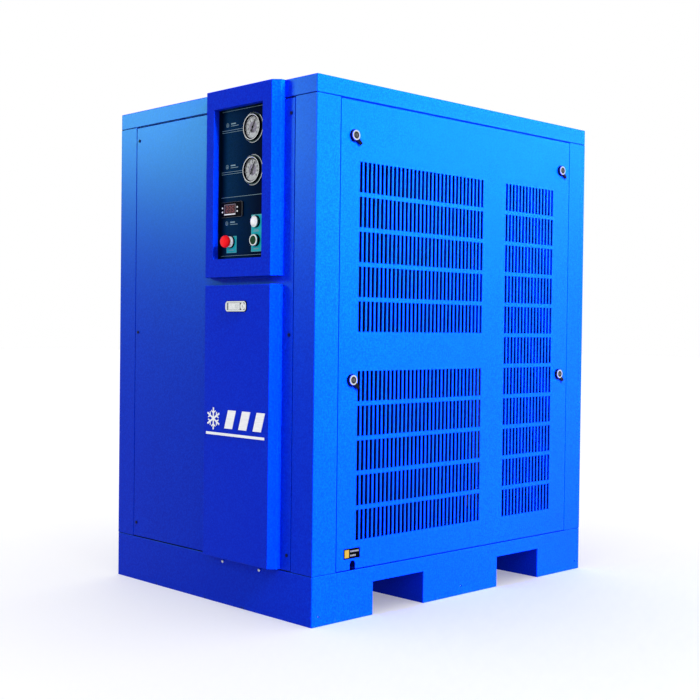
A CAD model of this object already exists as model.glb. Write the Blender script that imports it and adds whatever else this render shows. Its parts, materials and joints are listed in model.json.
"""Looks of a refrigerated air dryer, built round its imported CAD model.

Metres, +Z up, control column towards -Y, louvred door towards +X. Profiles of turned pieces are
lists of (radius, height) in millimetres.
"""
import json
import math

import bmesh
import bpy
from mathutils import Matrix, Vector


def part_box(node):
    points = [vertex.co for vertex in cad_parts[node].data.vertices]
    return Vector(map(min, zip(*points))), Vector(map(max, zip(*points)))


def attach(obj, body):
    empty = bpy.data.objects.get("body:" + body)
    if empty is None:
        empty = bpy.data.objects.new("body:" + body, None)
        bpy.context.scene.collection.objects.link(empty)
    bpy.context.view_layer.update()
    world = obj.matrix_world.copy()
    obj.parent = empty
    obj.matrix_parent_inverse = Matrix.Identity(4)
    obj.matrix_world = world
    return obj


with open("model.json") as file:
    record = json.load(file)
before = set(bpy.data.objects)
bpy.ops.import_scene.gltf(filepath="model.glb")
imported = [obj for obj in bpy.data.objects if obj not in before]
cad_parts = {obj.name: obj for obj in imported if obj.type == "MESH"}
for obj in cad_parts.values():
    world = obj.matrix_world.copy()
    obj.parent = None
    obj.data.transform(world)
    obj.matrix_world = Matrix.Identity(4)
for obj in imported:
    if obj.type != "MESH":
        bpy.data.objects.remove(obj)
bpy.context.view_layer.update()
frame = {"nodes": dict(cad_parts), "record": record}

MM = 0.001
nodes = frame["nodes"]
record = frame["record"]
joint_at = {joint["name"]: Vector(joint["pos_m"]) for joint in record["behaviour"]["joints"]
            if "pos_m" in joint}
TO_FRONT = Matrix.Rotation(math.radians(90), 3, "X")      # +Z becomes -Y
TO_SIDE = Matrix.Rotation(math.radians(90), 3, "Y")       # +Z becomes +X
TO_REAR = Matrix.Rotation(math.radians(-90), 3, "X")      # +Z becomes +Y
UPRIGHT = Matrix.Identity(3)


# ---- mesh helpers ---------------------------------------------------------------------------
def add_block(bm, low, high, bevel=0.0):
    """A box with rounded edges."""
    low, high = Vector(low), Vector(high)
    place = Matrix.Translation((low + high) / 2) @ Matrix.Diagonal((*(high - low), 1.0))
    made = bmesh.ops.create_cube(bm, size=1.0, matrix=place)
    if bevel:
        edges = list({edge for vert in made["verts"] for edge in vert.link_edges})
        bmesh.ops.bevel(bm, geom=edges, offset=bevel, segments=2, affect="EDGES")


def add_lathe(bm, profile, centre, turn, segments=64, closed=False):
    """A surface of revolution: profile holds (radius, height) in mm, turn maps +Z to its axis."""
    rings = []
    for radius, height in profile:
        count = 1 if radius < 1e-4 else segments
        ring = []
        for index in range(count):
            angle = 2 * math.pi * index / segments
            point = Vector((radius * math.cos(angle), radius * math.sin(angle), height)) * MM
            ring.append(bm.verts.new(Vector(centre) + turn @ point))
        rings.append(ring)
    pairs = list(zip(rings, rings[1:]))
    if closed:
        pairs.append((rings[-1], rings[0]))
    for first, second in pairs:
        for index in range(segments):
            after = index + 1
            corners = [first[index % len(first)], first[after % len(first)],
                       second[after % len(second)], second[index % len(second)]]
            corners = list(dict.fromkeys(corners))
            if len(corners) > 2:
                bm.faces.new(corners)


def add_prism(bm, outline, y0, y1):
    """An outline of (x, z) points drawn out along Y."""
    near = [bm.verts.new((x, y0, z)) for x, z in outline]
    far = [bm.verts.new((x, y1, z)) for x, z in outline]
    bm.faces.new(near)
    bm.faces.new(far)
    for index in range(len(outline)):
        after = (index + 1) % len(outline)
        bm.faces.new((near[index], near[after], far[after], far[index]))


def rounded_outline(x0, x1, z0, z1, radius, steps=6):
    """Corner points of a rectangle with round corners, in (x, z)."""
    points = []
    for cx, cz, start in ((x1 - radius, z1 - radius, 0), (x0 + radius, z1 - radius, 90),
                          (x0 + radius, z0 + radius, 180), (x1 - radius, z0 + radius, 270)):
        for step in range(steps + 1):
            angle = math.radians(start + 90 * step / steps)
            points.append((cx + radius * math.cos(angle), cz + radius * math.sin(angle)))
    return points


def add_frame(bm, x0, x1, z0, z1, width, radius, y0, y1):
    """A rectangular ring with round corners that lies in the XZ plane."""
    outer = rounded_outline(x0, x1, z0, z1, radius)
    inner = rounded_outline(x0 + width, x1 - width, z0 + width, z1 - width,
                            max(radius - width, radius * 0.3))
    loops = [[bm.verts.new((x, y, z)) for x, z in outline]
             for outline, y in ((outer, y0), (outer, y1), (inner, y1), (inner, y0))]
    for first, second in zip(loops, loops[1:] + loops[:1]):
        for index in range(len(first)):
            after = (index + 1) % len(first)
            bm.faces.new((first[index], first[after], second[after], second[index]))


def add_text(bm, words, size, centre, thickness):
    """Raised figures that face -Y, centred on a point."""
    curve = bpy.data.curves.new("figures", "FONT")
    curve.body = words
    curve.size = size
    curve.align_x = "CENTER"
    curve.align_y = "CENTER"
    curve.extrude = thickness / 2
    holder = bpy.data.objects.new("figures", curve)
    bpy.context.scene.collection.objects.link(holder)
    bpy.context.view_layer.update()
    mesh = bpy.data.meshes.new_from_object(holder)
    mesh.transform(Matrix.Translation(centre) @ TO_FRONT.to_4x4())
    bm.from_mesh(mesh)
    bpy.data.objects.remove(holder)
    bpy.data.curves.remove(curve)
    bpy.data.meshes.remove(mesh)


def add_piece(name, build, body, material, smooth=True):
    """Builds a mesh piece that rides on a body; build fills the mesh."""
    bm = bmesh.new()
    build(bm)
    bmesh.ops.recalc_face_normals(bm, faces=bm.faces)
    mesh = bpy.data.meshes.new(name)
    bm.to_mesh(mesh)
    bm.free()
    mesh.materials.append(mats[material])
    if smooth:
        for polygon in mesh.polygons:
            polygon.use_smooth = True
        mesh.set_sharp_from_angle(angle=math.radians(34))
    piece = bpy.data.objects.new(name, mesh)
    bpy.context.scene.collection.objects.link(piece)
    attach(piece, body)
    return piece


# ---- materials ------------------------------------------------------------------------------
def shade(colour, factor):
    """A colour made darker or lighter, at most full."""
    return tuple(min(1.0, channel * factor) for channel in colour)


class Recipe:
    """Builds one node material, with the object's own metres as texture coordinates."""

    def __init__(self, name, roughness, metallic=0.0, **sockets):
        self.material = bpy.data.materials.new(name)
        self.material.use_nodes = True
        self.tree = self.material.node_tree
        self.shader = self.tree.nodes["Principled BSDF"]
        self.shader.inputs["Roughness"].default_value = roughness
        self.shader.inputs["Metallic"].default_value = metallic
        for socket, value in sockets.items():
            self.shader.inputs[socket.replace("_", " ")].default_value = value
        self.place = self.tree.nodes.new("ShaderNodeTexCoord").outputs["Object"]

    def link(self, source, target):
        self.tree.links.new(source, target)

    def stretch(self, scale):
        mapping = self.tree.nodes.new("ShaderNodeMapping")
        mapping.inputs["Scale"].default_value = scale
        self.link(self.place, mapping.inputs["Vector"])
        return mapping.outputs["Vector"]

    def noise(self, scale, detail=2.0, vector=None):
        noise = self.tree.nodes.new("ShaderNodeTexNoise")
        noise.inputs["Scale"].default_value = scale
        noise.inputs["Detail"].default_value = detail
        self.link(vector or self.place, noise.inputs["Vector"])
        return noise.outputs["Fac"]

    def along(self, axis, start, end):
        """0 to 1 between two places on an axis."""
        split = self.tree.nodes.new("ShaderNodeSeparateXYZ")
        self.link(self.place, split.inputs["Vector"])
        spread = self.tree.nodes.new("ShaderNodeMapRange")
        spread.inputs["From Min"].default_value = start
        spread.inputs["From Max"].default_value = end
        self.link(split.outputs[axis], spread.inputs["Value"])
        return spread.outputs["Result"]

    def ramp(self, value, stops):
        ramp = self.tree.nodes.new("ShaderNodeValToRGB")
        elements = ramp.color_ramp.elements
        while len(elements) < len(stops):
            elements.new(0.5)
        for element, (position, colour) in zip(elements, stops):
            element.position = position
            element.color = (*colour, 1.0)
        self.link(value, ramp.inputs["Fac"])
        return ramp.outputs["Color"]

    def mask(self, value, start, end):
        return self.ramp(value, [(start, (0, 0, 0)), (end, (1, 1, 1))])

    def mix(self, factor, first, second):
        mix = self.tree.nodes.new("ShaderNodeMix")
        mix.data_type = "RGBA"
        for index, value in ((0, factor), (6, first), (7, second)):
            if isinstance(value, bpy.types.NodeSocket):
                self.link(value, mix.inputs[index])
            elif index == 0:
                mix.inputs[index].default_value = value
            else:
                mix.inputs[index].default_value = (*value, 1.0)
        return mix.outputs[2]

    def colour(self, value):
        self.link(value, self.shader.inputs["Base Color"])

    def rough(self, value, low, high):
        spread = self.tree.nodes.new("ShaderNodeMapRange")
        spread.inputs["To Min"].default_value = low
        spread.inputs["To Max"].default_value = high
        self.link(value, spread.inputs["Value"])
        self.link(spread.outputs["Result"], self.shader.inputs["Roughness"])

    def bump(self, value, strength, distance):
        bump = self.tree.nodes.new("ShaderNodeBump")
        bump.inputs["Strength"].default_value = strength
        bump.inputs["Distance"].default_value = distance
        self.link(value, bump.inputs["Height"])
        self.link(bump.outputs["Normal"], self.shader.inputs["Normal"])


def powder_coat(name, deep, bright, primer):
    """Textured powder coat: orange peel, speckle, slow tonal drift and scuffs by the floor."""
    recipe = Recipe(name, 0.4, Specular_IOR_Level=0.05, Specular_Tint=(0.1, 0.9, 1.0, 1.0))
    peel = recipe.noise(360.0, 3.0)
    grain = recipe.mask(recipe.noise(230.0, 2.0), 0.36, 0.70)
    drift = recipe.mask(recipe.noise(1.6, 2.0), 0.3, 0.75)
    tone = recipe.mix(grain, shade(deep, 0.94), bright)
    tone = recipe.mix(drift, tone, recipe.mix(0.5, tone, deep))
    chips = recipe.mask(recipe.noise(75.0, 5.0), 0.66, 0.69)
    scuffed = recipe.mix(recipe.along("Z", 0.014, 0.002), (0, 0, 0), chips)
    recipe.colour(recipe.mix(scuffed, tone, primer))
    recipe.rough(peel, 0.34, 0.50)
    recipe.bump(peel, 0.35, 0.00025)
    return recipe.material


def finish(name, colour, low, high, scale=260.0, bump=0.15, metallic=0.0, **sockets):
    """Moulded, sprayed or polished surface with its own grain and gentle smears."""
    recipe = Recipe(name, low, metallic, **sockets)
    grain = recipe.noise(scale, 3.0)
    smear = recipe.noise(scale * 0.06, 4.0)
    recipe.colour(recipe.mix(grain, shade(colour, 0.84), shade(colour, 1.14)))
    recipe.rough(smear, low, high)
    recipe.bump(grain, bump, 0.0003)
    return recipe.material


def brushed(name, colour, stretch, low, high):
    """Metal with fine scratches along one direction."""
    recipe = Recipe(name, low, 1.0)
    lines = recipe.noise(30.0, 4.0, recipe.stretch(stretch))
    recipe.colour(recipe.mix(lines, shade(colour, 0.75), shade(colour, 1.12)))
    recipe.rough(lines, low, high)
    recipe.bump(lines, 0.12, 0.0002)
    return recipe.material


def zinc(name):
    """Zinc plate with its broken spangle."""
    recipe = Recipe(name, 0.34, 1.0)
    cells = recipe.tree.nodes.new("ShaderNodeTexVoronoi")
    cells.inputs["Scale"].default_value = 140.0
    recipe.link(recipe.place, cells.inputs["Vector"])
    flake = recipe.ramp(cells.outputs["Distance"], [(0.0, (0.46, 0.48, 0.50)),
                                                   (0.7, (0.66, 0.68, 0.70))])
    recipe.colour(recipe.mix(recipe.noise(22.0, 4.0), flake, (0.56, 0.58, 0.61)))
    recipe.rough(cells.outputs["Distance"], 0.26, 0.46)
    recipe.bump(recipe.noise(420.0, 2.0), 0.1, 0.0002)
    return recipe.material


def foil(name):
    """Dark printed instrument foil: navy glow left of the middle, darker towards its edges."""
    recipe = Recipe(name, 0.36, Specular_IOR_Level=0.01)
    x0, x1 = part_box("instrument_plate")[0].x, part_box("instrument_plate")[1].x
    glow = recipe.ramp(recipe.along("X", x0, x1), [
        (0.0, (0.0, 0.001, 0.006)), (0.06, (0.0, 0.003, 0.016)),
        (0.16, (0.003, 0.026, 0.075)), (0.42, (0.0, 0.013, 0.050)),
        (0.75, (0.0, 0.003, 0.018)), (1.0, (0.0, 0.001, 0.010))])
    recipe.colour(recipe.mix(recipe.mask(recipe.noise(500.0), 0.4, 0.9), glow,
                             (0.0, 0.008, 0.020)))
    recipe.rough(recipe.noise(60.0), 0.30, 0.42)
    recipe.bump(recipe.noise(900.0), 0.05, 0.0001)
    return recipe.material


def glowing(name, dim, lit, strength):
    """Figures that give a little light of their own."""
    recipe = Recipe(name, 0.4, Emission_Strength=strength)
    glow = recipe.mix(recipe.noise(500.0), dim, lit)
    recipe.colour(glow)
    recipe.link(glow, recipe.shader.inputs["Emission Color"])
    recipe.bump(recipe.noise(900.0), 0.03, 0.0001)
    return recipe.material


def lens(name):
    """Thin clear cover with a few dull patches."""
    recipe = Recipe(name, 0.0, Transmission_Weight=1.0, IOR=1.12)
    recipe.colour(recipe.mix(recipe.noise(60.0), (0.97, 0.99, 0.99), (1, 1, 1)))
    recipe.rough(recipe.mask(recipe.noise(140.0, 4.0), 0.62, 0.8), 0.0, 0.03)
    return recipe.material


mats = {
    "blue_paint": powder_coat("blue powder coat", (0.0, 0.010, 0.40), (0.0, 0.024, 0.49),
                              (0.01, 0.02, 0.12)),
    "screw_black": finish("black oxide", (0.0, 0.003, 0.03), 0.4, 0.6, 900.0,
                         Specular_IOR_Level=0.15),
    "instrument_black": foil("instrument foil"),
    "legend_teal": finish("teal laminate", (0.0, 0.36, 0.42), 0.5, 0.65, 800.0,
                          Specular_IOR_Level=0.2),
    "case_black": finish("black moulding", (0.001, 0.001, 0.003), 0.3, 0.45, 500.0,
                         Specular_IOR_Level=0.02),
    "chrome": finish("polished chrome", (0.72, 0.75, 0.76), 0.10, 0.22, 300.0, 0.04, 1.0),
    "dial_white": finish("printed dial", (0.50, 0.50, 0.51), 0.5, 0.6, 900.0, 0.03,
                         Specular_IOR_Level=0.1),
    "clear_glass": lens("gauge lens"),
    "lamp_white": finish("opal lens", (0.88, 0.91, 0.93), 0.12, 0.2, 300.0, 0.05),
    "collar_white": finish("silver moulding", (0.78, 0.80, 0.83), 0.25, 0.4, 400.0),
    "zinc_steel": zinc("zinc-plated steel"),
    "equipment_grey": finish("switchgear grey", (0.16, 0.17, 0.18), 0.45, 0.6, 700.0),
    "black_enamel": finish("black enamel", (0.005, 0.005, 0.007), 0.28, 0.45, 350.0, 0.2,
                           Specular_IOR_Level=0.3),
    "rubber": finish("rubber", (0.0, 0.001, 0.008), 0.7, 0.85, 800.0, 0.3,
                     Specular_IOR_Level=0.05),
    "fin_aluminium": brushed("coated fins", (0.006, 0.010, 0.013), (1, 40, 1), 0.45, 0.65),
    "insulation": finish("closed-cell foam", (0.005, 0.005, 0.007), 0.8, 0.95, 600.0, 0.6,
                         Specular_IOR_Level=0.15),
    "brass": brushed("machined brass", (0.72, 0.5, 0.2), (8, 1, 1), 0.22, 0.36),
    "copper": brushed("drawn copper", (0.75, 0.33, 0.2), (1, 1, 10), 0.2, 0.36),
    "lock_black": finish("black nickel", (0.001, 0.001, 0.002), 0.2, 0.34, 500.0, 0.1,
                         Specular_IOR_Level=0.15),
    "emblem_silver": brushed("satin silver", (0.86, 0.87, 0.90), (1, 1, 20), 0.34, 0.5),
    "needle_black": finish("needle black", (0.008, 0.008, 0.008), 0.4, 0.5, 900.0),
    "button_green": finish("green cap", (0.0, 0.040, 0.012), 0.25, 0.4, 500.0,
                           Specular_IOR_Level=0.1),
    "estop_red": finish("red cap", (0.86, 0.0, 0.006), 0.25, 0.38, 400.0, 0.1,
                        Specular_IOR_Level=0.15),
    "key_white": finish("white key", (0.80, 0.82, 0.86), 0.35, 0.45, 900.0),
    "display_red": finish("smoked red window", (0.035, 0.002, 0.005), 0.15, 0.25, 300.0, 0.03,
                          Specular_IOR_Level=0.3),
    "ring_steel": finish("flange steel", (0.035, 0.062, 0.062), 0.3, 0.45, 400.0, 0.1, 1.0),
    "lock_steel": finish("worn lock steel", (0.20, 0.20, 0.21), 0.25, 0.4, 500.0, 0.1, 1.0),
    "dial_grey": finish("dial centre", (0.24, 0.21, 0.27), 0.5, 0.6, 900.0, 0.03),
    "print_grey": finish("printed line", (0.17, 0.28, 0.33), 0.5, 0.6, 900.0, 0.03),
    "sign_yellow": finish("sign yellow", (0.85, 0.50, 0.02), 0.4, 0.5, 800.0, 0.05),
    "dial_red": finish("dial red", (0.6, 0.02, 0.015), 0.5, 0.6, 900.0, 0.03),
    "fin_edge": brushed("fin edge", (0.02, 0.028, 0.034), (1, 1, 30), 0.4, 0.6),
    "lit": glowing("lit figures", (0.13, 0.015, 0.03), (0.20, 0.03, 0.045), 0.15),
}

for entry in record["subparts"]:
    node = nodes[entry["node"]]
    node.data.materials.clear()
    node.data.materials.append(mats[entry["material_slot"]])
nodes["gauge_lenses"].visible_shadow = False          # the dials behind them stay bright
nodes["gauge_rings"].data.materials[0] = mats["ring_steel"]


# ---- instruments ----------------------------------------------------------------------------
plate_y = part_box("legend_plates")[1].y            # face of the instrument plate


def ahead(height):
    """Y of a point some millimetres in front of the instrument plate."""
    return plate_y - height * MM


def centre_of(node):
    low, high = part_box(node)
    return (low + high) / 2


ring_low, ring_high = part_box("gauge_rings")
FLANGE_R = (ring_high.x - ring_low.x) / 2
GAUGE_X = (ring_high.x + ring_low.x) / 2
GAUGE_Z = {"upper": ring_high.z - FLANGE_R, "lower": ring_low.z + FLANGE_R}
FULL_SCALE = 16                       # bar
RED_FROM = 13                         # bar
SWEEP = 270.0                         # degrees from zero to full scale
NEEDLE_REST = math.radians(28.0)      # clockwise from the top of the dial
DIAL_FACE = 3.0                       # mm in front of the instrument plate
PRINT_FACE = 3.2
BLADE_BACK, BLADE_FACE = 5.3, 5.7
TRACK_R, TRACK_OUTER_R = 28.0, 28.9   # mm, the line along the ends of the strokes
STROKE_R = 28.4
MAJOR_R, MINOR_R = 23.0, 25.2         # mm, where long and short strokes begin
MAJOR_W, MINOR_W = 1.9, 0.8
FIGURE_R, BAND_R = 19.4, 25.6


def on_dial(gauge_z, radius, bar):
    """(x, z) of a reading at a radius in mm."""
    angle = math.radians(-SWEEP / 2 + SWEEP * bar / FULL_SCALE)
    return (GAUGE_X + radius * MM * math.sin(angle), gauge_z + radius * MM * math.cos(angle))


def add_tick(bm, gauge_z, bar, inner, outer, width):
    """A radial stroke at a reading, between two radii in mm."""
    step = math.degrees(width / outer) / SWEEP * FULL_SCALE / 2
    outline = [on_dial(gauge_z, inner, bar - step), on_dial(gauge_z, outer, bar - step),
               on_dial(gauge_z, outer, bar + step), on_dial(gauge_z, inner, bar + step)]
    add_prism(bm, outline, ahead(DIAL_FACE), ahead(PRINT_FACE))


def add_band(bm, gauge_z, start, end, inner, outer):
    """An arc between two readings and two radii in mm."""
    steps = 24
    bars = [start + (end - start) * step / steps for step in range(steps + 1)]
    outline = [on_dial(gauge_z, outer, bar) for bar in bars]
    outline += [on_dial(gauge_z, inner, bar) for bar in reversed(bars)]
    add_prism(bm, outline, ahead(DIAL_FACE), ahead(PRINT_FACE - 0.05))


def dial_print(bm, gauge_z):
    """Strokes at every half bar, figures at every second bar."""
    for half in range(2 * FULL_SCALE + 1):
        major = half % 4 == 0
        inner, width = (MAJOR_R, MAJOR_W) if major else (MINOR_R, MINOR_W)
        add_tick(bm, gauge_z, half / 2, inner, STROKE_R, width)
    add_band(bm, gauge_z, 0, FULL_SCALE, TRACK_R, TRACK_OUTER_R)
    for bar in range(0, FULL_SCALE + 1, 2):
        x, z = on_dial(gauge_z, FIGURE_R, bar)
        add_text(bm, str(bar), 8.8 * MM, (x, ahead(PRINT_FACE), z), 0.2 * MM)
    add_text(bm, "bar", 7.0 * MM, (GAUGE_X, ahead(PRINT_FACE), gauge_z - 10.5 * MM), 0.2 * MM)


BEZEL = [(31.9, 8.0), (32.0, 9.6), (32.6, 10.1), (33.4, 10.1), (34.0, 9.7), (34.2, 9.0),
         (34.2, 8.0)]
LIP = [(39.4, 0.6), (39.4, 2.6), (40.0, 3.1), (40.7, 2.7), (41.0, 1.6), (41.0, 0.6)]
DIAL_CENTRE = [(15.4, 3.0), (15.4, 3.1), (14.8, 3.15), (3.6, 3.15), (3.6, 3.0)]
NEEDLE_CAP = [(3.3, 5.6), (3.3, 6.0), (2.4, 6.4), (0, 6.5)]


def add_blade(bm, gauge_z):
    """Broad face of a needle, laid out on its rest reading."""
    sine, cosine = math.sin(NEEDLE_REST), math.cos(NEEDLE_REST)
    outline = []
    for across, along in ((-2.8, -13.5), (2.8, -13.5), (2.1, 0.0), (1.5, 21.5), (0.0, 25.2),
                          (-1.5, 21.5), (-2.1, 0.0)):
        outline.append((GAUGE_X + (across * cosine + along * sine) * MM,
                        gauge_z + (along * cosine - across * sine) * MM))
    add_prism(bm, outline, ahead(BLADE_BACK), ahead(BLADE_FACE))


for level, gauge_z in GAUGE_Z.items():
    hub = (GAUGE_X, plate_y, gauge_z)
    add_piece("gauge_print_" + level, lambda bm: dial_print(bm, gauge_z), "cabinet",
              "needle_black", smooth=False)
    add_piece("gauge_band_" + level,
              lambda bm: add_band(bm, gauge_z, RED_FROM, FULL_SCALE, BAND_R, TRACK_R + 0.2),
              "cabinet", "dial_red", smooth=False)
    add_piece("dial_centre_" + level,
              lambda bm: add_lathe(bm, DIAL_CENTRE, hub, TO_FRONT, 64, True),
              "cabinet", "dial_grey")
    add_piece("gauge_bezel_" + level, lambda bm: add_lathe(bm, BEZEL, hub, TO_FRONT, 96, True),
              "cabinet", "chrome")
    add_piece("flange_lip_" + level, lambda bm: add_lathe(bm, LIP, hub, TO_FRONT, 96, True),
              "cabinet", "chrome")
    add_piece("needle_blade_" + level, lambda bm: add_blade(bm, gauge_z), "needle_" + level,
              "needle_black", smooth=False)
    add_piece("needle_cap_" + level, lambda bm: add_lathe(bm, NEEDLE_CAP, hub, TO_FRONT, 32),
              "needle_" + level, "case_black")

# printed lines and marks on the instrument plate
window_low, window_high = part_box("instrument_plate")
PRINT_X0 = window_low.x / MM + 9.5    # mm, like the rest of the print
PRINT_X1 = window_high.x / MM - 9.5
RULES_Z = (1345.5, 1112.0, 953.0)
MARK_X = 83.0
MARK_OVER_GAUGE = 17.0
CONTROLLER_MARK_Z = 1041.5


def add_bar(bm, x0, x1, z, height):
    """A printed bar on the instrument plate, in mm."""
    add_block(bm, (x0 * MM, ahead(0.25), (z - height / 2) * MM),
              (x1 * MM, ahead(-0.05), (z + height / 2) * MM))


def add_icon(bm, x, z):
    """A ring with a cross in it, and two bars of different length beside it, in mm."""
    add_lathe(bm, [(4.6, -0.05), (4.6, 0.25), (5.6, 0.25), (5.6, -0.05)],
              (x * MM, plate_y, z * MM), TO_FRONT, 32, True)
    add_bar(bm, x - 0.6, x + 0.6, z, 7.4)
    add_bar(bm, x - 3.0, x + 3.0, z - 1.0, 1.2)
    add_bar(bm, x + 15.0, x + 35.0, z + 2.6, 3.2)
    add_bar(bm, x + 15.0, x + 47.0, z - 3.4, 1.4)


def panel_print(bm):
    """Rules across the plate, a pair of lines up to each gauge, and three marks."""
    for z in RULES_Z:
        add_bar(bm, PRINT_X0, PRINT_X1, z, 0.9)
    for gauge_z in GAUGE_Z.values():
        for offset in (-2.75, 2.75):
            add_bar(bm, PRINT_X0, (GAUGE_X - FLANGE_R) / MM - 1.5, gauge_z / MM + offset, 0.9)
        add_icon(bm, MARK_X, gauge_z / MM + MARK_OVER_GAUGE)
    add_icon(bm, MARK_X, CONTROLLER_MARK_Z)


add_piece("panel_print", panel_print, "cabinet", "print_grey", smooth=False)

# controller
case_low, case_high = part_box("controller_case")
show_low, show_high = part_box("controller_display")
CASE_X0, CASE_X1 = 67.0 * MM, 155.0 * MM      # the bezel, in front of the instrument plate
FIGURES = "235"
FIGURE_W, FIGURE_H, FIGURE_PITCH = 7.5 * MM, 15.0 * MM, 12.5 * MM
SEGMENTS = {"2": "abged", "5": "afgcd", "3": "abgcd"}


def add_digit(bm, figure, x, z, width, height):
    """A seven-segment figure from six-cornered bars."""
    half = 0.85 * MM
    level = {"a": height, "g": height / 2, "d": 0.0}
    y0, y1 = show_low.y - 0.25 * MM, show_low.y + 0.02 * MM
    for name in SEGMENTS[figure]:
        if name in level:
            z0 = z + level[name]
            outline = [(x + half, z0), (x + 2 * half, z0 + half),
                       (x + width - 2 * half, z0 + half), (x + width - half, z0),
                       (x + width - 2 * half, z0 - half), (x + 2 * half, z0 - half)]
        else:
            side = x + (width if name in "bc" else 0.0)
            bottom = z + (height / 2 if name in "bf" else 0.0)
            top = bottom + height / 2
            outline = [(side, bottom + half), (side + half, bottom + 2 * half),
                       (side + half, top - 2 * half), (side, top - half),
                       (side - half, top - 2 * half), (side - half, bottom + 2 * half)]
        add_prism(bm, outline, y0, y1)


def figures(bm):
    """Three figures and a point, low in the display window."""
    z = show_low.z + 7.5 * MM
    for index, figure in enumerate(FIGURES):
        x = show_low.x + 8.0 * MM + FIGURE_PITCH * index
        add_digit(bm, figure, x, z, FIGURE_W, FIGURE_H)
    dot = Vector((show_low.x + 30.2 * MM, show_low.y - 0.1 * MM, z))
    add_lathe(bm, [(0.9, 0.0), (0.9, 0.2), (0, 0.25)], dot, TO_FRONT, 16)


add_piece("display_figures", figures, "cabinet", "lit", smooth=False)
add_piece("display_frame",
          lambda bm: add_frame(bm, show_low.x - 0.4 * MM, show_high.x + 0.4 * MM,
                               show_low.z - 0.4 * MM, show_high.z + 0.4 * MM, 1.0 * MM,
                               1.0 * MM, show_low.y - 0.3 * MM, show_low.y + 0.1 * MM),
          "cabinet", "dial_grey")
add_piece("display_lip",
          lambda bm: add_block(bm, (show_low.x, show_low.y - 0.7 * MM, show_low.z - 0.2 * MM),
                               (show_high.x, show_low.y - 0.1 * MM, show_low.z + 2.6 * MM),
                               0.25 * MM),
          "cabinet", "key_white")
add_piece("controller_outline",
          lambda bm: add_frame(bm, CASE_X0 - 0.5 * MM, CASE_X1 + 0.5 * MM,
                               case_low.z - 0.5 * MM, case_high.z + 0.5 * MM, 1.2 * MM,
                               2.8 * MM, ahead(5.2), ahead(6.2)),
          "cabinet", "equipment_grey")

# push buttons, lamp and emergency stop
start = centre_of("start_button_collar")
lamp = centre_of("pilot_lamp_dome")
stop = centre_of("estop_head")
start_hub = (start.x, plate_y, start.z)
lamp_hub = (lamp.x, plate_y, lamp.z)
stop_hub = (stop.x, plate_y, stop.z)
SLEEVE = [(15.4, 0.7), (16.2, 0.7), (16.2, 7.4), (15.9, 8.2), (15.4, 8.2)]
LAMP_RING = [(12.6, 7.6), (12.7, 9.2), (13.6, 9.9), (14.9, 9.4), (15.4, 8.4), (15.4, 6.6),
             (14.9, 6.6)]
STOP_BASE = [(14.9, 0.7), (16.8, 0.7), (16.8, 4.0), (16.2, 4.8), (14.9, 4.9)]
add_piece("start_sleeve", lambda bm: add_lathe(bm, SLEEVE, start_hub, TO_FRONT, 64, True),
          "cabinet", "case_black")
add_piece("lamp_ring", lambda bm: add_lathe(bm, LAMP_RING, lamp_hub, TO_FRONT, 64, True),
          "cabinet", "chrome")
add_piece("stop_base", lambda bm: add_lathe(bm, STOP_BASE, stop_hub, TO_FRONT, 64, True),
          "cabinet", "case_black")


STOP_PLATE = (0.189, 0.234, 0.9605, 1.059)    # left, right, low and high edge
START_PLATE_RIGHT, START_PLATE_TOP = 0.127, 1.006


def legend_print(bm):
    """Short bars in place of words, and a thin border, on the two teal plates."""
    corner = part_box("legend_plates")[0]
    start_plate = (corner.x, START_PLATE_RIGHT, corner.z, START_PLATE_TOP)
    y0, y1 = corner.y - 0.15 * MM, corner.y + 0.05 * MM
    for button, left, right, rise, height in ((start, -12, 12, 24.5, 2.2),
                                              (start, -8, 10, 28.5, 1.2),
                                              (start, -10, 10, -22.5, 2.0),
                                              (stop, -10, 13, -22.5, 2.0)):
        z = button.z + rise * MM
        add_block(bm, (button.x + left * MM, y0, z - height / 2 * MM),
                  (button.x + right * MM, y1, z + height / 2 * MM))
    edge = 0.6 * MM
    for x0, x1, z0, z1 in (STOP_PLATE, start_plate):
        add_frame(bm, x0 + edge, x1 - edge, z0 + edge, z1 - edge, 0.7 * MM, 1.2 * MM, y0, y1)


add_piece("legend_print", legend_print, "cabinet", "print_grey", smooth=False)

# ---- lower cover ----------------------------------------------------------------------------
dish_low, dish_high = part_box("cover_latch_dish")
lock_pivot = joint_at["cover_lock_turn"]
plug_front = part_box("cover_lock_plug")[0].y
add_piece("latch_gasket",
          lambda bm: add_frame(bm, dish_low.x - 1.2 * MM, dish_high.x + 1.2 * MM,
                               dish_low.z - 1.2 * MM, dish_high.z + 1.2 * MM, 1.6 * MM,
                               8.8 * MM, dish_low.y + 1.7 * MM, dish_low.y + 3.0 * MM),
          "lower_cover", "rubber")
add_piece("latch_keyhole",
          lambda bm: add_block(bm, (lock_pivot.x - 0.66 * MM, plug_front + 0.6 * MM,
                                    lock_pivot.z - 3.45 * MM),
                               (lock_pivot.x + 0.66 * MM, plug_front + 3.0 * MM,
                                lock_pivot.z + 3.45 * MM), 0.2 * MM),
          "cover_lock", "lock_black")


def lever_ribs(bm):
    """Grip ribs across the free end of the latch lever."""
    low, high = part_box("cover_latch_lever")
    for index in range(5):
        x = high.x - (6.0 + 3.2 * index) * MM
        add_block(bm, (x, low.y - 0.45 * MM, low.z + 3.5 * MM),
                  (x + 1.4 * MM, low.y + 0.3 * MM, high.z - 3.5 * MM), 0.35 * MM)


add_piece("lever_ribs", lever_ribs, "latch_lever", "chrome")

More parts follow.
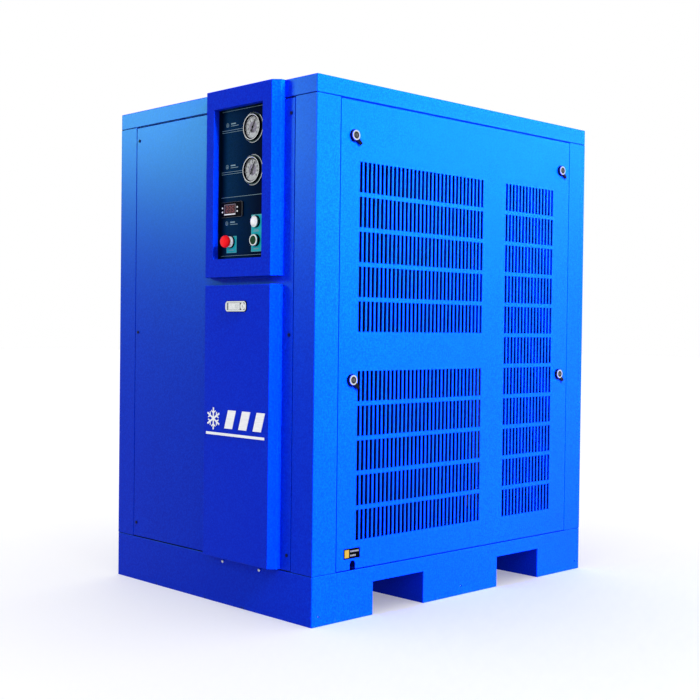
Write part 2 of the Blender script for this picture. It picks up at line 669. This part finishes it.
# ---- door -----------------------------------------------------------------------------------
LOCK_RING = [(9.2, 7.4), (9.2, 9.4), (9.8, 9.8), (11.6, 9.9), (12.8, 9.4), (13.2, 8.6),
             (13.2, 7.4)]
KEY_DITCH = [(5.05, 8.55), (7.75, 8.55), (7.75, 8.8), (5.05, 8.8)]
for end in ("front", "rear"):
    for level in ("upper", "lower"):
        place = end + "_" + level
        pivot = joint_at["door_lock_turn_" + place].copy()
        pivot.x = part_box("side_door")[1].x
        add_piece("lock_ring_" + place,
                  lambda bm: add_lathe(bm, LOCK_RING, pivot, TO_SIDE, 64, True),
                  "side_door", "chrome")
        add_piece("lock_ditch_" + place,
                  lambda bm: add_lathe(bm, KEY_DITCH, pivot, TO_SIDE, 48, True),
                  "door_lock_" + place, "lock_black")
        add_piece("lock_keyhole_" + place,
                  lambda bm: add_block(bm, (pivot.x + 6.1 * MM, pivot.y - 1.15 * MM,
                                            pivot.z - 4.15 * MM),
                                       (pivot.x + 9.0 * MM, pivot.y + 1.15 * MM,
                                        pivot.z + 4.15 * MM), 0.2 * MM),
                  "door_lock_" + place, "lock_black")
        nodes["door_lock_plug_" + place].data.materials[0] = mats["lock_steel"]

door_low, door_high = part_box("side_door")
LABEL_Y0, LABEL_Y1, LABEL_Z0, LABEL_Z1 = -0.470, -0.411, 0.160, 0.187


def on_door(y0, y1, z0, z1, height):
    """Opposite corners of a thin plate on the door's face."""
    return (door_high.x - 0.1 * MM, y0, z0), (door_high.x + height * MM, y1, z1)


add_piece("label_plate", lambda bm: add_block(bm, *on_door(LABEL_Y0, LABEL_Y1, LABEL_Z0,
                                                          LABEL_Z1, 0.8), 0.3 * MM),
          "side_door", "case_black")
add_piece("label_mark",
          lambda bm: add_block(bm, *on_door(LABEL_Y0 + 3 * MM, LABEL_Y0 + 19 * MM,
                                            LABEL_Z0 + 3 * MM, LABEL_Z1 - 3 * MM, 1.0), 0.2 * MM),
          "side_door", "sign_yellow")


def label_lines(bm):
    """Two rows of short strokes."""
    for z, count in ((LABEL_Z1 - 8 * MM, 6), (LABEL_Z0 + 8 * MM, 4)):
        for index in range(count):
            y = LABEL_Y0 + (23.5 + 5.2 * index) * MM
            add_block(bm, *on_door(y, y + 3.8 * MM, z - 2.2 * MM, z + 2.2 * MM, 1.0))


add_piece("label_lines", label_lines, "side_door", "dial_white", smooth=False)

# ---- seals in the joints between the panels ---------------------------------------------------
post_low, post_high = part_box("corner_posts")
lid_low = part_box("top_lid")[0]
front_low, front_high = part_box("front_panel")
POST_W = 82.0 * MM
INSET = 2.6 * MM                      # how far a seal lies behind the panels' faces
CLEAR = 0.35 * MM
SEAM = 2.2 * MM                       # height of the level joints


def upright_seals(bm):
    """Rubber in the upright joints beside the panels of all four sides."""
    z0, z1 = post_low.z + 4 * MM, post_high.z - 3 * MM
    for sx in (-1, 1):
        post_edge = sx * (post_high.x - POST_W)
        panel_edge = front_high.x if sx > 0 else front_low.x
        x0, x1 = sorted((post_edge - sx * CLEAR, panel_edge + sx * CLEAR))
        for sy in (-1, 1):
            y0, y1 = sorted((sy * (post_high.y - INSET), sy * (post_high.y - INSET - 3 * MM)))
            add_block(bm, (x0, y0, z0), (x1, y1, z1))
    for sy in (-1, 1):
        post_edge = sy * (post_high.y - POST_W)
        panel_edge = door_high.y if sy > 0 else door_low.y
        y0, y1 = sorted((post_edge - sy * CLEAR, panel_edge + sy * CLEAR))
        for sx in (-1, 1):
            x0, x1 = sorted((sx * (post_high.x - INSET), sx * (post_high.x - INSET - 3 * MM)))
            add_block(bm, (x0, y0, z0), (x1, y1, z1))


def add_belt(bm, half_x, half_y, depth, z0, z1):
    """A flat band that runs round the cabinet."""
    for sign in (-1, 1):
        x0, x1 = sorted((sign * half_x, sign * (half_x - depth)))
        add_block(bm, (x0, -half_y, z0), (x1, half_y, z1))
        y0, y1 = sorted((sign * half_y, sign * (half_y - depth)))
        add_block(bm, (-half_x, y0, z0), (half_x, y1, z1))


def level_seals(bm):
    """Rubber in the level joints over the plinth and under the lid."""
    half_x, half_y = post_high.x - 1.3 * MM, post_high.y - 1.3 * MM
    add_belt(bm, half_x, half_y, 1.0 * MM, lid_low.z + CLEAR, post_high.z + SEAM - CLEAR)
    add_belt(bm, half_x, half_y, 0.9 * MM, post_low.z + CLEAR, post_low.z + SEAM - CLEAR)


add_piece("upright_seals", upright_seals, "cabinet", "rubber", smooth=False)
add_piece("level_seals", level_seals, "cabinet", "rubber", smooth=False)

# ---- machinery ------------------------------------------------------------------------------
coil_low, coil_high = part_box("condenser")
FIN_PITCH, FIN_T, FIN_DEPTH = 3.6 * MM, 0.5 * MM, 5.5 * MM
FIN_MARGIN = 10 * MM
FIN_Z0, FIN_Z1 = 0.204, 1.196


def fins(bm):
    """Fin edges on the condenser's outer face."""
    count = int((coil_high.y - coil_low.y - 2 * FIN_MARGIN) / FIN_PITCH)
    face = coil_high.x - 1.5 * MM
    for index in range(count):
        y = coil_low.y + FIN_MARGIN + FIN_PITCH * index
        add_block(bm, (face - FIN_DEPTH, y, FIN_Z0), (face, y + FIN_T, FIN_Z1))


add_piece("condenser_fins", fins, "cabinet", "fin_edge", smooth=False)

SHELL_WELD = [(99.6, 0.0), (101.2, 1.2), (101.8, 3.0), (101.2, 4.8), (99.6, 6.0)]
SHELL_SEAM = (-0.120, -0.250, 0.385)  # where the two halves of the compressor's shell meet
add_piece("shell_weld",
          lambda bm: add_lathe(bm, SHELL_WELD, SHELL_SEAM, UPRIGHT, 96, True),
          "cabinet", "black_enamel")
PIPE_WELD = [(44.4, -25.5), (47.6, -25.9), (44.4, -29.6)]
PIPE_X, PIPES_Z = -0.060, (1.0, 0.62)


def pipe_welds(bm):
    """Fillet welds between the air pipes and their flanges."""
    for z in PIPES_Z:
        hub = (PIPE_X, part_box("air_pipes")[1].y, z)
        add_lathe(bm, PIPE_WELD, hub, TO_REAR, 64, True)


add_piece("pipe_welds", pipe_welds, "cabinet", "zinc_steel")

BACK_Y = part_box("electrical_box")[1].y - 2 * MM       # inner face of the box's back
DUCTS_Z = (0.820, 0.620, 0.400, 0.230)
DUCT_X0, DUCT_X1, DUCT_HALF_H = 0.044, 0.276, 18 * MM
FINGERS, FINGER_PITCH, FINGER_W = 29, 8 * MM, 5 * MM
SWITCHGEAR_X = 160                    # mm
# rows of switchgear: height of the row, units in it, and each unit's width, height and depth in mm
ROWS = ((0.720, 3, 60, 88, 84), (0.520, 4, 44, 84, 66), (0.300, 12, 16, 50, 42))


def wire_ducts(bm):
    """Slotted ducts between the rows of switchgear, each with its comb of fingers."""
    for z in DUCTS_Z:
        add_block(bm, (DUCT_X0, BACK_Y - 42 * MM, z - DUCT_HALF_H),
                  (DUCT_X1, BACK_Y - 38 * MM, z + DUCT_HALF_H), 0.8 * MM)
        for index in range(FINGERS):
            x = DUCT_X0 + 2.5 * MM + FINGER_PITCH * index
            for side in (-1, 1):
                z0, z1 = sorted((z + side * (DUCT_HALF_H - 2.5 * MM),
                                 z + side * (DUCT_HALF_H - 0.5 * MM)))
                add_block(bm, (x, BACK_Y - 39 * MM, z0), (x + FINGER_W, BACK_Y, z1))


TERMINAL_SCREW = [(2.6, 0.0), (2.6, 0.8), (2.0, 1.3), (0, 1.3)]


def terminal_screws(bm):
    """Screws along the upper and lower edge of every unit of switchgear."""
    for row_z, units, width, tall, deep in ROWS:
        first = SWITCHGEAR_X - units * (width + 2) / 2
        count = 3 if width > 20 else 1
        for unit in range(units):
            for index in range(count):
                x = first + unit * (width + 2) + width * (index + 0.5) / count
                for side in (-1, 1):
                    z = row_z + side * (tall / 2 - 8) * MM
                    add_lathe(bm, TERMINAL_SCREW, (x * MM, BACK_Y - (8 + deep) * MM, z),
                              TO_FRONT, 16)


add_piece("wire_ducts", wire_ducts, "cabinet", "equipment_grey", smooth=False)
add_piece("terminal_screws", terminal_screws, "cabinet", "zinc_steel")

# ---- camera, floor and light ----------------------------------------------------------------
CAMERA_AT = Vector((2.632, -2.5865, 0.7582))
CAMERA_TURN = (45.81, 1.02, -0.69)    # degrees: azimuth, pitch down and roll
LENS, SENSOR = 60.69, 36.0            # mm


def place_camera():
    """Camera off the front-right corner, a little above mid height."""
    azimuth, pitch, roll = (math.radians(turn) for turn in CAMERA_TURN)
    forward = Vector((-math.sin(azimuth) * math.cos(pitch), math.cos(azimuth) * math.cos(pitch),
                      -math.sin(pitch)))
    right = Vector((math.cos(azimuth), math.sin(azimuth), 0.0))
    down = forward.cross(right)
    across = right * math.cos(roll) + down * math.sin(roll)
    below = down * math.cos(roll) - right * math.sin(roll)
    data = bpy.data.cameras.new("camera")
    data.lens = LENS
    data.sensor_width = SENSOR
    data.clip_end = 60.0
    camera = bpy.data.objects.new("camera", data)
    bpy.context.scene.collection.objects.link(camera)
    matrix = Matrix((across, -below, -forward)).transposed().to_4x4()
    matrix.translation = CAMERA_AT
    camera.matrix_world = matrix
    bpy.context.scene.camera = camera


def area_light(name, place, target, width, height, power, colour):
    """A rectangular lamp at a place, turned to a target."""
    data = bpy.data.lights.new(name, "AREA")
    data.shape = "RECTANGLE"
    data.size, data.size_y = width, height
    data.energy = power
    data.color = colour
    light = bpy.data.objects.new(name, data)
    bpy.context.scene.collection.objects.link(light)
    light.location = place
    aim = Vector(target) - Vector(place)
    light.rotation_euler = aim.to_track_quat("-Z", "Y").to_euler()
    return light


def link_light(light, objects, state):
    """Keeps a lamp's light off some objects, or on them alone."""
    group = bpy.data.collections.new(state.lower() + " for " + light.name)
    for index, thing in enumerate(objects):
        group.objects.link(thing)
        group.collection_objects[index].light_linking.link_state = state
    light.light_linking.receiver_collection = group


def build_floor():
    """Pale floor that runs out to a white horizon."""
    reach, drop = 30.0, 0.5 * MM
    bm = bmesh.new()
    bm.faces.new([bm.verts.new((x, y, -drop)) for x, y in
                  ((-reach, -reach), (reach, -reach), (reach, reach), (-reach, reach))])
    mesh = bpy.data.meshes.new("floor")
    bm.to_mesh(mesh)
    bm.free()
    floor = bpy.data.objects.new("floor", mesh)
    bpy.context.scene.collection.objects.link(floor)
    recipe = Recipe("pale floor", 0.7, Specular_IOR_Level=0.1, Emission_Strength=0.28,
                    Emission_Color=(1, 1, 1, 1))
    recipe.colour(recipe.mix(recipe.noise(3.0), (0.79, 0.79, 0.79), (0.81, 0.81, 0.81)))
    mesh.materials.append(recipe.material)
    return floor


def build_studio(floor):
    """White surroundings and four soft lamps: a wash and a sheen for the louvred side, a sheen
    high on the left of the front, and a weak fill."""
    world = bpy.data.worlds.new("studio")
    bpy.context.scene.world = world
    world.use_nodes = True
    back = world.node_tree.nodes["Background"]
    back.inputs["Color"].default_value = (1, 1, 1, 1)
    back.inputs["Strength"].default_value = 1.0
    wash = area_light("wash", (3.2, -0.25, 3.0), (0.45, 0.0, 0.7), 1.4, 1.4, 2300.0, (0.2, 1, 1))
    side = area_light("side sheen", (3.0, 3.3, 2.2), (0.45, 0.2, 1.1), 2.0, 1.4, 300.0,
                      (0.1, 1, 0.8))
    front = area_light("front sheen", (-3.2, -2.7, 2.1), (-0.3, -0.58, 1.1), 0.7, 0.7, 330.0,
                       (0.25, 0.95, 1))
    fill = area_light("fill", (4.0, -3.6, 2.6), (0.1, -0.5, 0.8), 1.4, 1.4, 40.0, (0.8, 0.9, 1))
    frame_shell = ("top_lid", "corner_posts", "plinth_end_skirts", "plinth_side_skirts",
                   "front_panel")
    hung_shell = ("left_panel", "rear_panel", "side_door", "instrument_cowl", "lower_cover")
    link_light(fill, [floor], "EXCLUDE")
    link_light(wash, [nodes[name] for name in frame_shell + hung_shell], "INCLUDE")
    link_light(side, [nodes[name] for name in frame_shell + hung_shell], "INCLUDE")
    link_light(front, [nodes[name] for name in frame_shell], "INCLUDE")
    front.visible_diffuse = False
    bpy.context.scene.view_settings.view_transform = "Standard"


place_camera()
build_studio(build_floor())
